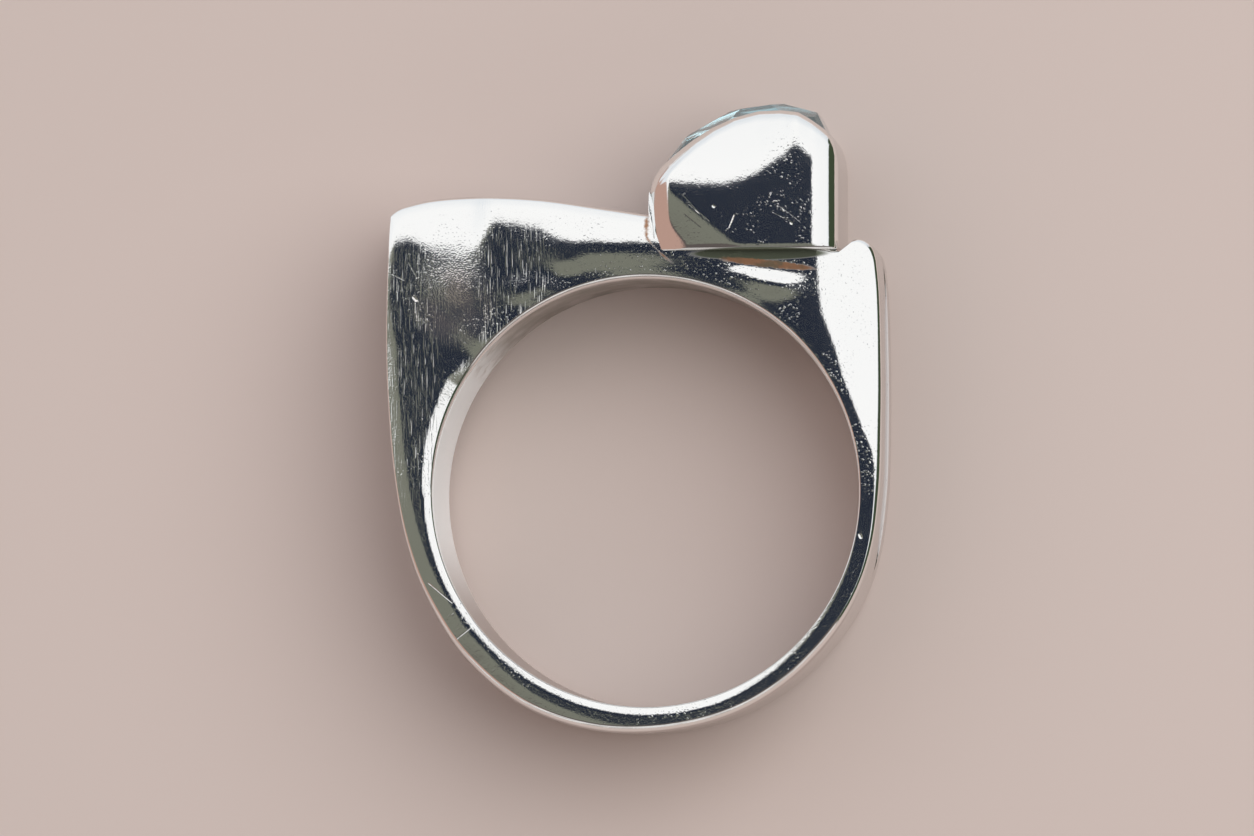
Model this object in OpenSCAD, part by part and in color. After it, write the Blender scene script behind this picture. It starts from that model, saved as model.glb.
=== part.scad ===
// Silver ring with a tall left shoulder and an off-centre box that holds a cut aquamarine.
// The finger hole runs along Z, the box stands toward +Y, and the ring lies on its side.

/* [Finger hole] */
// Inside diameter, US ring size 7
bore_d = 17.3; // [16.5:0.1:18.5]
// Depth of the band along the finger
band_depth = 6; // [5:0.1:7]

/* [Band and shoulders] */
// Rounding of the edge at the finger hole
inner_round = 0.2; // [0.1:0.05:0.3]
// Rounding of the outer edge
outer_round = 0.25; // [0.1:0.05:0.35]
// Most that the broad shoulder's face bulges from its edges to its middle
face_bulge = 0.26; // [0.1:0.02:0.4]

/* [Stone box] */
// Width of the box along X
box_w = 7.62; // [7.4:0.02:8.2]
// Depth of the box along the finger
box_depth = 6.8; // [6.6:0.1:7.4]
// Left wall of the box from the middle of the finger hole
box_left = 0.13; // [0:0.01:0.4]
// Underside of the box above the finger hole
box_rise = 1.22; // [1:0.02:1.5]
// Highest point of the rim above the underside
rim_h = 5.6; // [5.3:0.05:6]

/* [Aquamarine] */
// Length of the stone along X
stone_l = 7; // [6.6:0.05:7.1]
// Width of the stone along Z
stone_w = 6.1; // [5.6:0.05:6.2]
// Height of the table above the middle of the girdle
crown_h = 2.3; // [2:0.05:2.4]
// Slope of the facets round the table
crown_angle = 24; // [20:1:28]
// Slope of the facets under the girdle
pavilion_angle = 48; // [44:1:52]
// Depth of the point below the middle of the girdle
pavilion_h = 2.9; // [2.6:0.05:3]
// Lean of the stone toward the tall shoulder
stone_lean = 7.5; // [4:0.5:9]
// Gap between the stone and its seat
seat_gap = 0.05; // [0.03:0.01:0.08]

/* [Hidden] */

bore_r = bore_d / 2;
half_depth = band_depth / 2;
base_r = 8.65; // the finger hole's radius at which the outline below was drawn
cut_r = bore_r - 0.5; // inner side of the band before the finger hole is cut
facets = 96; // smoothness of the finger hole where it is drawn as a mesh

// Knots of the band's outline, seen along the finger, in mm at base_r.
// From the right shoulder's corner, round the bottom, to the left shoulder's sharp corner.
SIDE = [ // x, y
    [9.37, 9.42], [9.49, 8.00], [9.57, 5.40], [9.57, 3.00], [9.42, 0.00], [9.01, -2.80],
    [8.02, -5.15], [6.15, -7.34], [3.69, -8.90], [0.80, -9.64], [-2.22, -9.59], [-5.06, -8.60],
    [-7.38, -6.68], [-8.91, -4.24], [-9.77, -1.87], [-10.26, 0.90], [-10.50, 3.70],
    [-10.58, 6.00], [-10.54, 8.60], [-10.43, 11.30]
];
// Along the left shoulder's crest and on into the box
CREST = [ // x, y
    [-10.43, 11.30], [-9.95, 11.64], [-8.72, 11.95], [-6.70, 12.07], [-4.30, 11.95],
    [-1.90, 11.60], [-0.20, 11.33], [0.80, 11.13]
];
// Hidden in the box, then out into the notch beside it, and over the low right shoulder
UNDER_BOX = [for (x = [1.3:0.6:7]) [x, 10.3]];
LOW_SHOULDER = [ // x, y
    [7.50, 10.10], [7.92, 9.86], [8.15, 9.85], [8.45, 10.12], [8.73, 10.24], [9.06, 10.17],
    [9.28, 9.90]
];

// Outline of the box, seen along the finger, from the left end of its underside.
BOX = [ // share of the width, share of the rim's height
    [0.08, 0.00], [0.50, 0.00], [0.95, 0.00], [0.99, 0.03], [1.00, 0.12], [1.00, 0.40],
    [1.00, 0.62], [0.99, 0.74], [0.96, 0.82], [0.86, 0.93], [0.79, 0.985], [0.70, 1.00],
    [0.58, 0.995], [0.45, 0.95], [0.22, 0.785], [0.065, 0.61], [0.018, 0.53], [0.00, 0.42],
    [0.00, 0.14], [0.02, 0.04]
];
// Rounding and bulge of the box's front and back face
BOX_FACE = [ // share that the outline shrinks by, depth below the middle of the face
    [0.00, 0.62], [0.015, 0.42], [0.05, 0.25], [0.11, 0.15], [0.22, 0.10], [0.50, 0.04], [0.80, 0.01]
];

box_floor = bore_r + box_rise;
box_middle = [box_left + box_w / 2, box_floor + rim_h / 2];

half_l = stone_l / 2;
half_w = stone_w / 2;
corner_r = 1.6; // rounding of the cushion's corners that its facets follow
girdle_top = 0.3; // from the middle of the girdle
girdle_low = -0.15;
end_slope = 72; // lower crown facets, steep enough to hide in the box
low_end_slope = 44; // and the same at the stone's low end
table_half = [1.1, 1.25];
table_corner = 0.8;
table_shift = 0.6; // the table sits nearer the stone's high end
break_h = 0.35; // the pavilion's main facets would meet the side this far below its own edge
lip = 0.4; // metal that laps over the stone's edge
hollow_wall = 0.9; // from the stone's side in to the hollow below it
hollow_h = 3.1; // floor of the hollow below the middle of the girdle
stone_x = box_left + box_w / 2 + 0.13;
stone_y = box_floor + 3.53;
big = 20;

// Arcs of the band's two rounded edges, as angles in from its face
INNER_ARC = [65, 42, 20];
OUTER_ARC = [25, 50, 72, 90];
ACROSS = [0:0.2:1]; // points from one edge of the band's face to the other
bulge_share = 0.07; // most that a narrow face bulges, for each mm of its width
skirt = 0.9; // height of the band's hidden inner side that the finger hole cuts away

facet_turn = 22.5;
EIGHT = [for (i = [0:7]) i * 2 * facet_turn];
SIXTEEN = [for (i = [0:15]) i * facet_turn];

// Distance from the middle of a rectangle with round corners to its side that faces an azimuth
function side_at(a, half = [half_l, half_w], r = corner_r) =
    (half[0] - r) * abs(cos(a)) + (half[1] - r) * abs(sin(a)) + r;

// Corner between the sides that face azimuths a and b
function corner_at(a, b, grow) = let (g = side_at(a) + grow, h = side_at(b) + grow)
    [g * sin(b) - h * sin(a), h * cos(a) - g * cos(b)] / sin(b - a);

// Distance from the stone's middle to the edge of its table
function table_side(a) = side_at(a, table_half, table_corner) + table_shift * cos(a);

// Slope of the lower crown facets, gentler toward the stone's low end
function low_crown_slope(a) = end_slope + (end_slope - low_end_slope) * min(0, cos(a));

// Smooth curve through knots, with n steps in each span
function spline(k, n) = [
    for (i = [0:len(k) - 2]) let (
        a = k[max(i - 1, 0)], b = k[i], c = k[i + 1], d = k[min(i + 2, len(k) - 1)]
    ) for (j = [0:n - 1]) let (t = j / n)
        b + ((c - a) * t + (2 * a - 5 * b + 4 * c - d) * t * t + (3 * b - a - 3 * c + d) * pow(t, 3)) / 2
];

band_outline = [
    for (p = concat(spline(SIDE, 4), spline(CREST, 2), UNDER_BOX, LOW_SHOULDER)) p * bore_r / base_r
];

// Front half of the band's section from the finger hole out, as radius and height
function half_section(outer_r) = let (
        inner = bore_r + inner_round,
        outer = outer_r - outer_round,
        bulge = min(face_bulge, (outer - inner) * bulge_share),
        edge = half_depth - bulge
    ) concat(
        [[cut_r, edge - inner_round - skirt]],
        [for (a = INNER_ARC) [inner - inner_round * sin(a), edge - inner_round * (1 - cos(a))]],
        [for (s = ACROSS) [inner + (outer - inner) * s, half_depth - bulge * pow(2 * s - 1, 2)]],
        [for (a = OUTER_ARC) [outer + outer_round * sin(a), edge - outer_round * (1 - cos(a))]]
    );

function whole_section(outer_r) = let (h = half_section(outer_r), n = len(h))
    concat(h, [for (i = [n - 1:-1:0]) [h[i][0], -h[i][1]]]);

// Skin of a tube whose rings of m points close on themselves
function tube_faces(n, m) = [
    for (i = [0:n - 1]) for (j = [0:m - 1])
        [i * m + j, i * m + (j + 1) % m, ((i + 1) % n) * m + (j + 1) % m, ((i + 1) % n) * m + j]
];

// The band with both shoulders, its section swept round the finger hole
module band_blank() {
    sections = [
        for (p = band_outline) let (r = norm(p), out = p / r)
            [for (q = whole_section(r)) [out[0] * q[0], out[1] * q[0], q[1]]]
    ];
    points = [for (s = sections) for (v = s) v];
    polyhedron(points = points, faces = tube_faces(len(sections), len(sections[0])), convexity = 8);
}

// Solid box with rounded edges and gently bulging faces
module box_blank() {
    knots = [for (b = concat(BOX, [BOX[0]])) [box_left + b[0] * box_w, box_floor + b[1] * rim_h]];
    outline = spline(knots, 3);
    n = len(outline);
    front = [for (f = BOX_FACE) [f[0], box_depth / 2 - f[1]]];
    levels = concat([for (i = [len(front) - 1:-1:0]) [front[i][0], -front[i][1]]], front);
    k = len(levels);
    points = concat(
        [for (l = levels) for (p = outline) [each box_middle + (p - box_middle) * (1 - l[0]), l[1]]],
        [[each box_middle, -box_depth / 2], [each box_middle, box_depth / 2]]
    );
    walls = [
        for (i = [0:k - 2]) for (j = [0:n - 1])
            [i * n + j, (i + 1) * n + j, (i + 1) * n + (j + 1) % n, i * n + (j + 1) % n]
    ];
    back_cap = [for (j = [0:n - 1]) [k * n, j, (j + 1) % n]];
    front_cap = [for (j = [0:n - 1]) [k * n + 1, (k - 1) * n + (j + 1) % n, (k - 1) * n + j]];
    polyhedron(points = points, faces = concat(walls, back_cap, front_cap), convexity = 4);
}

// Places the stone's own frame, length along X, width along Y, table up, in the box
module at_seat() {
    translate([stone_x, stone_y, 0]) rotate([0, 0, stone_lean]) rotate([-90, 0, 0]) children();
}

// Upright block with the stone's sixteen-sided plan
module cushion(grow, from, to) {
    outline = [for (a = SIXTEEN) corner_at(a, a + facet_turn, grow)];
    translate([0, 0, from]) linear_extrude(to - from) polygon(outline);
}

// Everything below a plane that falls outward at an azimuth and passes a distance out at a height
module below(azimuth, slope, out, height, grow) {
    rotate([0, 0, azimuth]) translate([out, 0, height]) rotate([0, slope, 0])
        translate([-big, -big, grow - 2 * big]) cube(2 * big);
}

// The cut stone, its sides all moved out by grow
module cut_stone(grow) {
    point_h = pavilion_h + girdle_low - break_h;
    intersection() {
        cushion(grow, -pavilion_h - grow, crown_h + grow);
        intersection_for (a = EIGHT)
            below(a, crown_angle, table_side(a), crown_h, grow);
        intersection_for (a = SIXTEEN)
            below(a, low_crown_slope(a), side_at(a), girdle_top, grow);
        mirror([0, 0, 1]) intersection_for (a = SIXTEEN)
            below(a, pavilion_angle, side_at(a), -girdle_low, grow);
        mirror([0, 0, 1]) intersection_for (a = EIGHT)
            below(a, atan(point_h / side_at(a)), 0, pavilion_h, grow);
    }
}

// Seat that follows the stone, open above it and hollow below it
module pocket() {
    cut_stone(seat_gap);
    cushion(-lip, girdle_top, big);
    cushion(-hollow_wall, -hollow_h, 0);
}

module ring_body() {
    color([0.78, 0.79, 0.8]) difference() {
        union() {
            band_blank();
            box_blank();
        }
        cylinder(h = big, r = bore_r, center = true, $fn = facets);
        at_seat() pocket();
    }
}

module aquamarine() {
    color([0.62, 0.86, 0.9]) at_seat() cut_stone(0);
}

ring_body();
aquamarine();
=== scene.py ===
# %% [markdown]
# A silver ring with an off-centre box that holds an aquamarine.
# The ring lies on its side: its finger hole runs along Z, and the box stands toward +Y.
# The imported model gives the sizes. This script adds the polished silver with its soft edges,
# the stone's crystal, a floor, soft light and a camera.

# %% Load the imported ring
import math
from functools import lru_cache

import bmesh
import bpy
from mathutils import Matrix, Vector


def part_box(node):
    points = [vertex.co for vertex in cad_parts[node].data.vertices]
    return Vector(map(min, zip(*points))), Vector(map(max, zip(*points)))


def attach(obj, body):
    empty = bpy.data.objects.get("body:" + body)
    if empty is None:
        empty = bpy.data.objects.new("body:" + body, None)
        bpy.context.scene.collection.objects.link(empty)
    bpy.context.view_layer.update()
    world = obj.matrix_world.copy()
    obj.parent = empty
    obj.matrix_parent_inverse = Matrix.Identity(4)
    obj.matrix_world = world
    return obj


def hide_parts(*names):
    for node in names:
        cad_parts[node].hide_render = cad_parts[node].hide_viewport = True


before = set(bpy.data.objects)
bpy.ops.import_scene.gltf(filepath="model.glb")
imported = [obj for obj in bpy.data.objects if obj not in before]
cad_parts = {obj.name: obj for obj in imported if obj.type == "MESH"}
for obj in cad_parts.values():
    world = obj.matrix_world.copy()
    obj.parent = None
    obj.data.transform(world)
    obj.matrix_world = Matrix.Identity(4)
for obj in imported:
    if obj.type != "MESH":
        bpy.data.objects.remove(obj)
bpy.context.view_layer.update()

MM = 0.001
ring_low, ring_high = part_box("ring_body")
print("ring_body from", ring_low, "to", ring_high)

# %% [markdown]
# The photo looks along the finger hole from about a third of a metre away, slightly from the
# right and from below. A long lens keeps the near and the far edge of the hole almost the
# same size, which is how the camera's distance was found. The camera comes first, so that
# every later piece can be judged in the photo's own view.

# %% Camera
CAMERA_AT = Vector((33.97, -14.81, 359.66)) * MM
CAMERA_AIM = Vector((-0.756, 3.034, 2.85)) * MM
FOCAL_MM = 254.73
SENSOR_MM = 36.0
CLIP_NEAR = 0.01
CLIP_FAR = 20.0
UP = Vector((0, 1, 0))


def look(at, aim, up):
    """A place and a turn that points -Z at another place, with an upward direction."""
    back = (at - aim).normalized()
    right = up.cross(back).normalized()
    turn = Matrix((right, back.cross(right), back)).transposed()
    return Matrix.Translation(at) @ turn.to_4x4()


camera_data = bpy.data.cameras.new("camera")
camera_data.lens = FOCAL_MM
camera_data.sensor_width = SENSOR_MM
camera_data.clip_start = CLIP_NEAR
camera_data.clip_end = CLIP_FAR
camera = bpy.data.objects.new("camera", camera_data)
camera.matrix_world = look(CAMERA_AT, CAMERA_AIM, UP)
bpy.context.scene.collection.objects.link(camera)
bpy.context.scene.camera = camera
print("camera", round((CAMERA_AT - CAMERA_AIM).length, 3), "m from the ring")

# %% [markdown]
# Seen along the finger hole, the band's inner edge is a circle and its outer edge a free
# curve: thin at the bottom, growing up the left side into a tall shoulder with one sharp
# corner, and staying low at the right. It could be traced point by point, but a smooth curve
# through a few knots is rounder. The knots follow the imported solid's, within a tenth of a
# millimetre wherever the outline shows.

# %% Knots of the band's outline
BORE_R = 8.65
SIDE = [  # x, y in mm, from the right shoulder round the bottom to the left shoulder's corner
    (9.37, 9.42), (9.50, 8.00), (9.57, 5.40), (9.57, 3.00), (9.47, 0.00), (9.03, -2.80),
    (8.02, -5.15), (6.15, -7.34), (3.69, -8.90), (0.80, -9.637), (-2.22, -9.588), (-5.06, -8.60),
    (-7.38, -6.68), (-8.91, -4.24), (-9.77, -1.87), (-10.26, 0.90), (-10.50, 3.70),
    (-10.577, 6.00), (-10.54, 8.60), (-10.43, 11.30),
]
CREST = [  # along the left shoulder's crest and on into the box
    (-10.43, 11.30), (-9.95, 11.64), (-8.72, 11.95), (-6.70, 12.07), (-4.30, 11.95),
    (-1.90, 11.60), (-0.20, 11.33), (0.80, 11.13), (1.30, 10.30),
]
SHOULDER = [  # hidden in the box, out into the notch beside it, over the low right shoulder
    (1.30, 10.30), (4.40, 10.20), (7.10, 9.93), (7.70, 9.80), (8.12, 9.87), (8.42, 10.21),
    (8.72, 10.24), (9.02, 10.10), (9.24, 9.82), (9.37, 9.42),
]
print("outline through", len(SIDE) + len(CREST) + len(SHOULDER) - 3, "knots")

# %% Curve through the knots
SIDE_STEPS = 12
SHOULDER_STEPS = 6


def curve_through(knots, steps):
    """Smooth curve through knots, with a number of steps in each span."""
    points = [Vector(k) for k in knots]
    out = []
    for i in range(len(points) - 1):
        a, b = points[max(i - 1, 0)], points[i]
        c, d = points[i + 1], points[min(i + 2, len(points) - 1)]
        for j in range(steps):
            t = j / steps
            bend = (c - a) * t + (2 * a - 5 * b + 4 * c - d) * t**2 + (3 * b - a - 3 * c + d) * t**3
            out.append(b + bend / 2)
    return out


outline = (
    curve_through(SIDE, SIDE_STEPS)
    + curve_through(CREST, SIDE_STEPS)
    + curve_through(SHOULDER, SHOULDER_STEPS)
)
print("outline of", len(outline), "points")

# %% Radius of the outline at any angle
polar = sorted((math.atan2(p.y, p.x), p.length) for p in outline)
before = (polar[-1][0] - math.tau, polar[-1][1])
after = (polar[0][0] + math.tau, polar[0][1])
polar = [before] + polar + [after]


def mix(a, b, t):
    """Value on the way from a to b, a at 0 and b at 1."""
    return a + (b - a) * t


def read_table(table, at):
    """Values of a table's row at a place, with even steps between its rows."""
    for low, high in zip(table, table[1:]):
        if low[0] <= at <= high[0]:
            t = (at - low[0]) / max(high[0] - low[0], 1e-9)
            return [mix(p, q, t) for p, q in zip(low[1:], high[1:])]
    raise ValueError(at)


@lru_cache(maxsize=None)
def outer_radius(angle):
    """Radius in mm of the band's outline at an angle."""
    return read_table(polar, angle)[0]


CORNER = math.atan2(SIDE[-1][1], SIDE[-1][0])
print("the tall shoulder's corner stands", round(outer_radius(CORNER), 2), "mm out")

# %% [markdown]
# A goldsmith would saw and file this band from a thick plate. Here half of its section is a
# short chain of points: up the wall of the finger hole, round its edge, over the polished
# face, round the outer edge and down the outer wall. The chain is spun once round the hole,
# and each point keeps the number of its place in it, so that every section can then be
# stretched to the outline's radius at its own angle. A bevel could round the edges too, but
# not with a width that changes round the ring, as it does on the real, filed edges.

# %% Places along the section
HALF_DEPTH = 3.0
WALL_STEPS = 8
ROUND_STEPS = 6
FACE_STEPS = 30
CHANNEL_FROM = 0.485  # share of the way from the face to the middle of the band's depth
CHANNEL_TO = 0.4865
WALL_SHARES = (0, 0.16, 0.32, 0.47, CHANNEL_FROM, CHANNEL_TO, 0.506, 0.66, 0.83, 1)

STATIONS = (
    [("bore", i / WALL_STEPS) for i in range(WALL_STEPS)]
    + [("inner", i / ROUND_STEPS) for i in range(ROUND_STEPS)]
    + [("face", 0.5 - 0.5 * math.cos(math.pi * i / FACE_STEPS)) for i in range(FACE_STEPS)]
    + [("outer", i / ROUND_STEPS) for i in range(ROUND_STEPS)]
    + [("wall", share) for share in WALL_SHARES]
)
print("half a section of", len(STATIONS), "points")

# %% Rounded edges and their bevels
# Widths of the two rounded edges, then width and slope of the soft bevel beside each, in mm
EDGES = [  # angle in degrees, inner round, outer round, inner bevel, slope, outer bevel, slope
    (-180, 0.09, 0.08, 0.36, 0.090, 0.48, 0.085),
    (-160, 0.06, 0.16, 0.35, 0.090, 0.52, 0.085),
    (-135, 0.04, 0.30, 0.32, 0.090, 0.55, 0.080),
    (-110, 0.04, 0.31, 0.34, 0.095, 0.30, 0.050),
    (-90, 0.04, 0.31, 0.36, 0.100, 0.00, 0.000),
    (-70, 0.04, 0.31, 0.38, 0.100, 0.00, 0.000),
    (-45, 0.04, 0.31, 0.24, 0.090, 0.00, 0.000),
    (-20, 0.05, 0.16, 0.10, 0.090, 0.00, 0.000),
    (-8, 0.05, 0.17, 0.06, 0.060, 0.00, 0.000),
    (0, 0.06, 0.20, 0.06, 0.040, 0.00, 0.000),
    (30, 0.14, 0.20, 0.16, 0.030, 0.00, 0.000),
    (48, 0.20, 0.18, 0.20, 0.030, 0.00, 0.000),
    (95, 0.22, 0.16, 0.22, 0.035, 0.30, 0.080),
    (129, 0.22, 0.16, 0.22, 0.035, 0.30, 0.080),
    (134, 0.22, 0.05, 0.22, 0.035, 0.30, 0.080),
    (143, 0.20, 0.06, 0.30, 0.045, 0.10, 0.040),
    (150, 0.19, 0.06, 0.55, 0.090, 0.42, 0.070),
    (165, 0.15, 0.07, 0.48, 0.090, 0.46, 0.080),
    (180, 0.09, 0.08, 0.42, 0.090, 0.48, 0.085),
]


@lru_cache(maxsize=None)
def edges_at(angle):
    """A row of the table of edges, and the radii where the polished face starts and ends."""
    row = read_table(EDGES, min(math.degrees(angle), 180))
    return row, BORE_R + row[0], outer_radius(angle) - row[1]


_, face_from, face_to = edges_at(CORNER)
print("the face is", round(face_to - face_from, 2), "mm wide at the tall shoulder's corner")

# %% [markdown]
# The front face looks flat, but polishing has rolled it away toward its edges and made it
# lean a little here and there. A mirror turns a reflection by twice its own lean, so these few
# degrees decide where each dark and bright patch on the silver ends. They are written as a
# drop below the flat face, because a drop is easy to add up and smooth to bend.

# %% Rolls of the face
# The tall shoulder's crest and the low one's outside roll away from the flat face from here on
CREST_ROLL = [  # x, y
    (-11, 9.65), (-10.2, 9.8), (-9.7, 9.95), (-9.15, 9.75), (-8.6, 9.48), (-8.0, 9.35),
    (-7.4, 9.27), (-7.0, 9.45), (-6.4, 10.5), (-6.1, 10.72), (-5.6, 10.6), (-4.3, 10.5),
    (-3.6, 10.18), (-2.9, 10.02), (-2.1, 10.14), (-1.4, 10.02), (-0.2, 9.95), (1, 9.9),
    (12, 12),
]
RIGHT_ROLL = [  # y, x
    (-12, 12), (-3.0, 9.25), (-1.5, 9.14), (-0.4, 9.20), (0.9, 9.20), (1.7, 9.08), (2.2, 8.86),
    (3.8, 8.25), (4.7, 7.90), (5.8, 7.60), (7.3, 7.05), (9.1, 6.86), (14, 6.8),
]
CREST_SLOPE = (0.085, 0.9)  # slope, and the length over which it sets in
RIGHT_SLOPE = (0.080, 0.20)
BEVEL_BLEND = 0.10


def roll(reach, slope, blend):
    """Drop of a face that turns, over a short blend, from flat to a slope."""
    return slope * (math.hypot(max(reach, 0), blend) - blend)


print("1 mm past the crest's line the face lies", round(roll(1, *CREST_SLOPE), 3), "mm lower")

# %% Leans of the face
LEANS = [  # x, y, reach in x, reach in y, lean in x, lean in y as an angle in radians
    (-1.6, 9.36, 2.3, 0.60, 0.0, -0.066),
    (-5.0, 7.85, 0.6, 0.42, 0.01, -0.052),
    (-4.1, 8.32, 0.6, 0.36, 0.01, -0.052),
    (-3.3, 8.95, 0.5, 0.35, 0.00, -0.050),
    (4.9, 8.00, 0.7, 0.50, -0.01, -0.045),
    (-7.1, 7.8, 0.9, 0.9, 0.0, -0.022),
    (-7.0, 6.0, 0.5, 0.6, 0.0, -0.050),
    (-7.8, 8.9, 0.6, 0.6, 0.0, 0.020),
    (3.9, 9.07, 0.50, 0.22, 0.0, 0.070),
    (4.8, 8.83, 0.60, 0.26, 0.0, 0.085),
    (5.7, 8.62, 0.55, 0.30, 0.0, 0.090),
]


def lean_drop(x, y):
    """How far the leaning places lie below the even face."""
    drop = 0
    for at_x, at_y, reach_x, reach_y, lean_x, lean_y in LEANS:
        near = math.exp(-(((x - at_x) / reach_x) ** 2 + ((y - at_y) / reach_y) ** 2) / 2)
        drop += (lean_x * (x - at_x) + lean_y * (y - at_y)) * near
    return drop


@lru_cache(maxsize=None)
def face_height(angle, share):
    """Height of the front face over the middle of the band, in mm, across its width."""
    row, start, end = edges_at(angle)
    r = mix(start, end, share)
    x, y = r * math.cos(angle), r * math.sin(angle)
    drop = roll(start + row[2] - r, row[3], BEVEL_BLEND) + roll(r - end + row[4], row[5], BEVEL_BLEND)
    drop += roll(y - read_table(CREST_ROLL, x)[0], *CREST_SLOPE)
    drop += roll(x - read_table(RIGHT_ROLL, y)[0], *RIGHT_SLOPE)
    return HALF_DEPTH - drop - lean_drop(x, y)


print("the face lies", round(face_height(CORNER, 1), 3), "mm up at the tall shoulder's corner")

# %% [markdown]
# Both edges are quarter rounds that run deeper down the wall than across the face, as worn
# edges do. Along the low shoulder's outer wall runs a shallow channel, which shows in the
# photo as one bright line beside the edge. It is part of the chain of points, because a
# separate cut would leave a seam.

# %% Points of a section
ROUND_DEPTH = 2.8  # a rounded edge runs this many times deeper than it is wide
LOW_STRETCH = (-30, -8, 48, 60)  # here, in degrees, the outer edge is a true quarter circle
CHANNEL_STRETCH = (-22, -4, 34, 48)
CHANNEL_DEEP = 0.07


def smooth(low, high, value):
    """0 below low, 1 above high, and an even S between them."""
    t = min(max((value - low) / (high - low), 0), 1)
    return t * t * (3 - 2 * t)


def along(degrees, start, full, fade, end):
    """1 along a stretch of the ring, growing in at its start and fading at its end."""
    return smooth(start, full, degrees) * (1 - smooth(fade, end, degrees))


def section_point(angle, part, share):
    """Radius and height in mm of one place on the front half of the section."""
    (inner, outer, *_), start, end = edges_at(angle)
    turn = share * math.pi / 2
    inner_deep = inner * ROUND_DEPTH
    if part == "bore":
        return BORE_R, share * (face_height(angle, 0) - inner_deep)
    if part == "inner":
        return start - inner * math.cos(turn), face_height(angle, 0) - inner_deep * (1 - math.sin(turn))
    if part == "face":
        return mix(start, end, share), face_height(angle, share)
    degrees = math.degrees(angle)
    deep = outer * mix(ROUND_DEPTH, 1, along(degrees, *LOW_STRETCH))
    low = face_height(angle, 1) - deep
    if part == "outer":
        return end + outer * math.sin(turn), low + deep * math.cos(turn)
    channel = along(degrees, *CHANNEL_STRETCH) * CHANNEL_DEEP
    return end + outer - channel * smooth(CHANNEL_FROM, CHANNEL_TO, share), low * (1 - share)


print("the outer edge at 0 degrees starts at", [round(v, 3) for v in section_point(0, "outer", 0)])

# %% Spin of the band
TURN_STEPS = 600
MERGE = 1e-7  # metres


def band_mesh():
    """Spins the chain of points, stretches each section, and mirrors the front half to the back."""
    bm = bmesh.new()
    station = bm.verts.layers.int.new("station")
    chain = []
    for i in range(len(STATIONS)):
        vert = bm.verts.new((BORE_R + i, 0, 0))
        vert[station] = i
        chain.append(vert)
    edges = [bm.edges.new(pair) for pair in zip(chain, chain[1:])]
    bmesh.ops.spin(
        bm, geom=chain + edges, cent=(0, 0, 0), axis=(0, 0, 1), angle=math.tau,
        steps=TURN_STEPS, use_merge=True,
    )
    for vert in bm.verts:
        angle = max(round(math.atan2(vert.co.y, vert.co.x), 6), -math.pi)
        if abs(angle - CORNER) < math.pi / TURN_STEPS:
            angle = CORNER
        radius, high = section_point(angle, *STATIONS[vert[station]])
        vert.co = Vector((radius * math.cos(angle), radius * math.sin(angle), high)) * MM
    geom = bm.verts[:] + bm.edges[:] + bm.faces[:]
    bmesh.ops.mirror(bm, geom=geom, axis="Z", merge_dist=MERGE)
    bmesh.ops.remove_doubles(bm, verts=bm.verts[:], dist=MERGE)
    bmesh.ops.recalc_face_normals(bm, faces=bm.faces[:])
    return bm


print("one turn in", TURN_STEPS, "steps of", round(math.tau * BORE_R / TURN_STEPS, 3), "mm")

# %% Silver band
SHARP = math.radians(60)


def finish_piece(name, bm, sharp=SHARP):
    """Makes an object of a mesh in its place, smooth but for its sharp edges, on the ring's body."""
    mesh = bpy.data.meshes.new(name)
    bm.to_mesh(mesh)
    bm.free()
    mesh.shade_smooth()
    mesh.set_sharp_from_angle(angle=sharp)
    piece = bpy.data.objects.new(name, mesh)
    bpy.context.scene.collection.objects.link(piece)
    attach(piece, "root")
    return piece


silver_band = finish_piece("silver_band", band_mesh())
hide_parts("ring_body")
print("silver_band", len(silver_band.data.polygons), "faces")

# %% [markdown]
# The box is a rounded rectangle from above, and its rim climbs from the left corner to a
# high point right of the middle. The real one is bent from strip and soldered. Here a closed
# loop is drawn out of a circle and extruded ring by ring: out over the underside, up the
# walls, over the rim, and down inside to the seat that holds the stone. One loop all the way
# leaves no joint, and every ring may have its own shape.

# %% Plan of the box
BOX_LEFT = 0.13
BOX_WIDTH = 7.70
BOX_HALF_DEPTH = 3.4
BOX_MIDDLE = BOX_LEFT + BOX_WIDTH / 2
CORNER_ROUND = 0.36


def rounded(half_x, half_z, corner, angle):
    """Point of a rounded rectangle that a loop reaches at an angle, by even steps of its length."""
    sides = [half_x - corner, half_z - corner]
    arc = corner * math.pi / 2
    quarter = sides[0] + sides[1] + arc
    turn, rest = divmod(angle / (math.pi / 2), 1)
    reached = rest * quarter if turn % 2 == 0 else (1 - rest) * quarter
    if reached < sides[1]:
        x, z = half_x, reached
    elif reached < sides[1] + arc:
        bend = (reached - sides[1]) / corner
        x, z = sides[0] + corner * math.cos(bend), sides[1] + corner * math.sin(bend)
    else:
        x, z = sides[0] - (reached - sides[1] - arc), half_z
    sign_x = 1 if turn % 4 in (0, 3) else -1
    sign_z = 1 if turn % 4 in (0, 1) else -1
    return sign_x * x, sign_z * z


print("box from x", BOX_LEFT, "to", BOX_LEFT + BOX_WIDTH, "mm,", 2 * BOX_HALF_DEPTH, "mm deep")

# %% Rim of the box
BOX_FLOOR = BORE_R + 1.22
BOX_HIGH = 5.6
RIM = [  # share of the width, height of the rim as a share of the highest point
    (0.00, 0.47), (0.018, 0.53), (0.065, 0.61), (0.14, 0.700), (0.22, 0.785), (0.33, 0.878),
    (0.45, 0.95), (0.58, 0.995), (0.70, 1.00), (0.79, 0.985), (0.86, 0.93), (0.92, 0.87),
    (0.96, 0.82), (0.985, 0.75), (1.00, 0.64),
]


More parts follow.
